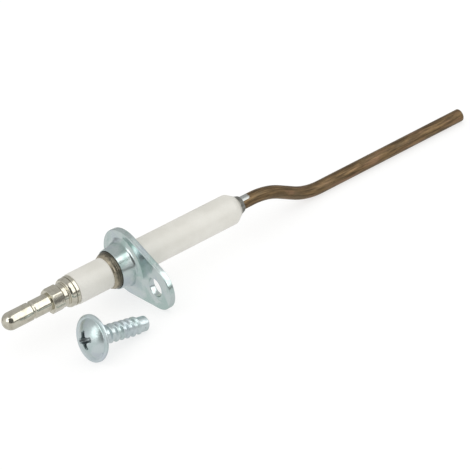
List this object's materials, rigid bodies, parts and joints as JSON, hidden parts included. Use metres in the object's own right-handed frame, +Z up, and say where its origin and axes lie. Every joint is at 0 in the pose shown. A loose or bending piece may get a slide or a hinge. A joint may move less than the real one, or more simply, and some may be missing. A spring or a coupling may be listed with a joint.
{
  "type": "ignition electrode",
  "caption": "Burner ignition electrode: ceramic insulator with a crimped flange, a plug terminal and a cranked spark rod, with its fixing screw.",
  "frame": {"origin": "on the table that the part lies on, below the middle of the box around the whole part", "axes": "+X along the electrode's axis from the plug terminal to the spark tip, +Z up from the table that the flange's straight edge and the rod's tip rest on, -Y towards the flange's screw lobe and the loose screw"},
  "size_m": [0.128, 0.0286, 0.0153],
  "materials": {
    "terminal_plug": "polished nickel plate",
    "clamp_bush": "polished nickel plate",
    "end_washer": "polished nickel plate",
    "ceramic_insulator": "satin off-white alumina",
    "plug_end_cement": "matt refractory cement",
    "spark_end_cement": "matt refractory cement",
    "rod_collar": "dull bare steel",
    "electrode_rod": "drawn heat-resistant alloy, brown oxide",
    "mounting_flange": "bluish zinc plate",
    "crimp_sleeve": "oxidised steel",
    "packing_ring": "matt graphite",
    "fixing_screw": "bluish zinc plate"
  },
  "bodies": {
    "electrode": {"terminal_plug": "terminal_plug", "clamp_bush": "clamp_bush", "end_washer": "end_washer", "ceramic_insulator": "ceramic_insulator", "plug_end_cement": "plug_end_cement", "spark_end_cement": "spark_end_cement", "rod_collar": "rod_collar", "electrode_rod": "electrode_rod", "mounting_flange": "mounting_flange", "crimp_sleeve": "crimp_sleeve", "packing_ring": "packing_ring"},
    "screw": {"fixing_screw": "fixing_screw"}
  },
  "joints": [
    {"name": "screw_lift", "type": "slide", "parent": "electrode", "child": "screw", "axis": [0, 0, 1], "range_m": [0, 0.03]}
  ]
}
